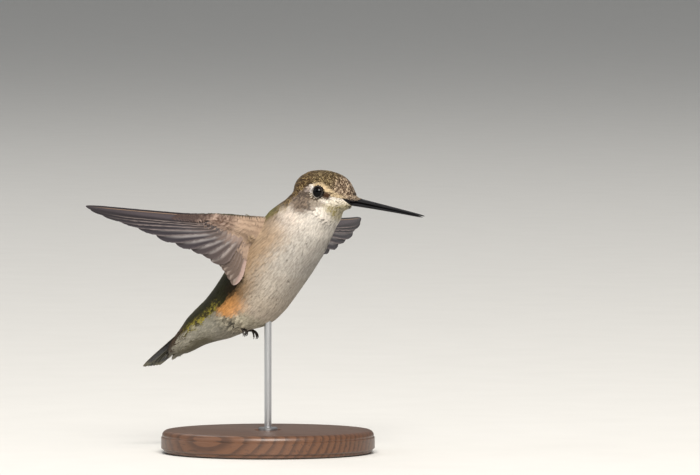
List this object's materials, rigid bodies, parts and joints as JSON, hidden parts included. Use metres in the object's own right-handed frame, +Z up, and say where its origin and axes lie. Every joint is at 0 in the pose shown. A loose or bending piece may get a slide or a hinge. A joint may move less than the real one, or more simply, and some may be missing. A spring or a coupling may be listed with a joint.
{
  "type": "ruby-throated hummingbird",
  "caption": "Life-size hovering ruby-throated hummingbird in female plumage, wings spread and bill level, held on a thin rod over a round wooden base.",
  "frame": {"origin": "centre of the stand base's underside, under the rod", "axes": "+X the way the body faces, +Y to the bird's left, +Z up"},
  "size_m": [0.0739, 0.1132, 0.0638],
  "materials": {
    "plumage": "soft small feathers: pale grey-buff below, bronze-green above",
    "flight_feathers": "dusky grey vanes with darker shafts and a silky sheen",
    "bill": "black horn, satin",
    "eyes": "wet black-brown",
    "feet": "blackish scaled skin",
    "stand_wood": "dark stained and waxed",
    "stand_steel": "drawn wire, satin"
  },
  "bodies": {
    "root": {"head": "plumage", "neck": "plumage", "trunk": "plumage", "rump": "plumage", "bill_upper": "bill", "bill_lower": "bill", "eye_right": "eyes", "eye_left": "eyes", "wing_right_arm": "flight_feathers", "wing_right_hand": "flight_feathers", "wing_left_arm": "flight_feathers", "wing_left_hand": "flight_feathers", "tail_right": "flight_feathers", "tail_left": "flight_feathers", "leg_right": "feet", "leg_left": "feet", "stand_base": "stand_wood", "stand_rod": "stand_steel"}
  },
  "joints": []
}
